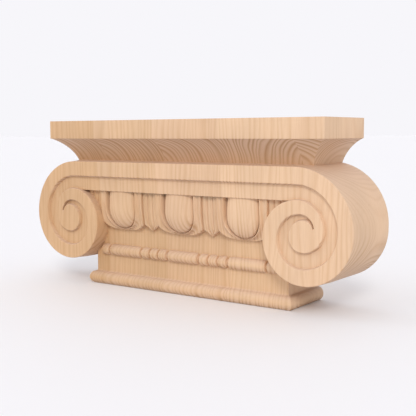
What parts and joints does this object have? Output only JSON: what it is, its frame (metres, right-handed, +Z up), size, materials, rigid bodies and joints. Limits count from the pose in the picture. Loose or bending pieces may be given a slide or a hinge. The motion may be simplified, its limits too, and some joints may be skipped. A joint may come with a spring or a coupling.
{
  "type": "ionic capital",
  "caption": "Flat-backed ionic capital for a pilaster, carved wood, with scrolled volutes, egg-and-dart, a bead-and-reel strand and a moulded foot.",
  "frame": {"origin": "centre of the bounding box in plan, at the underside of the foot", "axes": "+Z up, -Y out of the carved front, +Y out of the flat back, +X to the viewer's right"},
  "size_m": [0.303, 0.0624, 0.1386],
  "materials": {
    "wood": "bare sanded pale hardwood, unfinished, with fine vertical grain"
  },
  "bodies": {
    "root": {"capital": "wood"}
  },
  "joints": []
}
